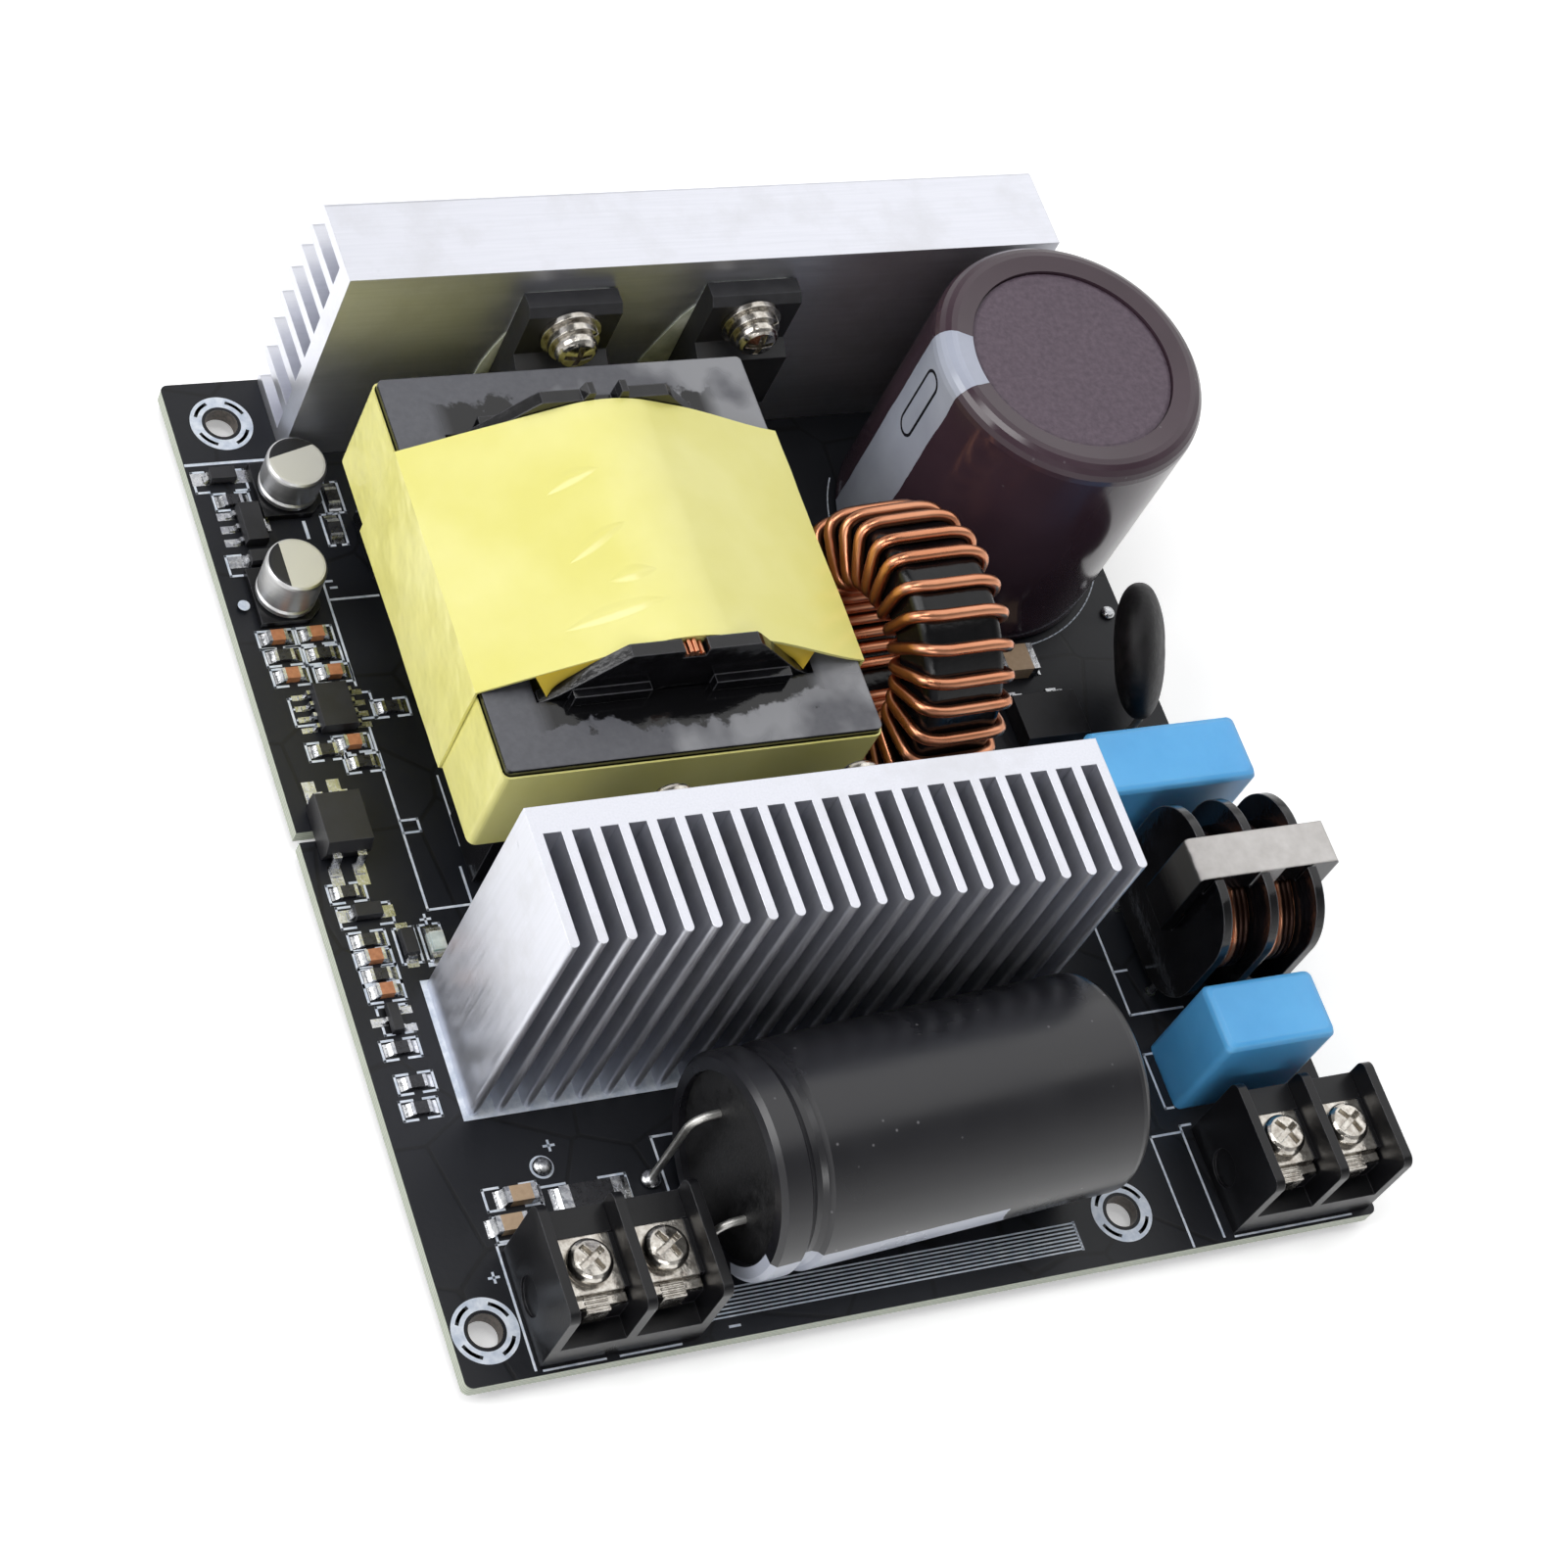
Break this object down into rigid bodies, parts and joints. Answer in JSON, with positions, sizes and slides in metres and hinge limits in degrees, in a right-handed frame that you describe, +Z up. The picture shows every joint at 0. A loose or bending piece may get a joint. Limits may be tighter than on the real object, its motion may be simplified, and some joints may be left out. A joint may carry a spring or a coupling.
{
  "type": "power supply module",
  "caption": "Open-frame switching power supply board with finned heatsinks, taped transformer, wound toroid, capacitors and screw terminals.",
  "frame": {"origin": "below the middle of the module, level with the ends of the leads that it stands on", "axes": "+X to the right along the edge with the terminals, +Y from that edge to the rear heatsink, +Z up from the board"},
  "size_m": [0.1, 0.1138, 0.0361],
  "materials": {
    "board": "black solder mask over glass-epoxy",
    "aluminium": "extruded and sawn, satin",
    "ferrite": "dark grey ferrite, varnished",
    "tape": "yellow polyester tape",
    "black_plastic": "black moulded plastic",
    "winding_tape": "coil wrapped in yellow tape",
    "copper": "enamelled copper wire",
    "plum_sleeve": "plum shrink sleeve",
    "plum_disc": "plum plastic disc",
    "black_sleeve": "black shrink sleeve",
    "bung": "black rubber",
    "blue_case": "blue plastic case",
    "pale_ferrite": "bare grey-beige ferrite",
    "toroid_coat": "black coated iron powder",
    "tin": "tinned copper and solder",
    "nickel": "nickel plated steel",
    "pad": "pale silicone pad",
    "moulding": "black epoxy moulding",
    "dark_coat": "black epoxy dip",
    "resistor": "black glazed chip",
    "tan_ceramic": "tan ceramic chip",
    "can": "bare aluminium can",
    "lamp": "clear lens on white"
  },
  "bodies": {
    "root": {"circuit_board": "board", "solder_joints": "tin", "rear_heatsink": "aluminium", "front_heatsink": "aluminium", "heatsink_pins": "tin", "left_transistor": "moulding", "right_transistor": "moulding", "transistor_leads": "tin", "transistor_pads": "pad", "transistor_screws": "nickel", "spring_washers": "nickel", "flat_washers": "nickel", "left_rectifier": "moulding", "right_rectifier": "moulding", "rectifier_frames": "tin", "rectifier_screws": "nickel", "front_core_half": "ferrite", "rear_core_half": "ferrite", "transformer_bobbin": "black_plastic", "transformer_winding": "winding_tape", "core_tape": "tape", "winding_tape": "tape", "transformer_pins": "tin", "bulk_capacitor": "plum_sleeve", "bulk_capacitor_disc": "plum_disc", "bulk_capacitor_pins": "tin", "output_capacitor": "black_sleeve", "output_capacitor_bung": "bung", "output_capacitor_leads": "tin", "toroid_core": "toroid_coat", "toroid_winding": "copper", "thermistor": "dark_coat", "thermistor_leads": "tin", "front_film_capacitor": "blue_case", "rear_film_capacitor": "blue_case", "film_capacitor_leads": "tin", "choke_core": "pale_ferrite", "choke_bobbin": "black_plastic", "choke_left_winding": "copper", "choke_right_winding": "copper", "choke_pins": "tin", "dc_terminal_block": "black_plastic", "ac_terminal_block": "black_plastic", "terminal_contacts": "nickel", "terminal_clamps": "nickel", "terminal_screws": "nickel", "rear_can_capacitor": "can", "front_can_capacitor": "can", "can_capacitor_bases": "black_plastic", "controller_chip": "moulding", "optocoupler": "moulding", "small_transistors": "moulding", "small_diodes": "moulding", "chip_leads": "tin", "chip_resistors": "resistor", "chip_capacitors": "tan_ceramic", "chip_end_caps": "tin", "indicator_lamp": "lamp", "bridge_rectifier": "moulding"}
  },
  "joints": []
}
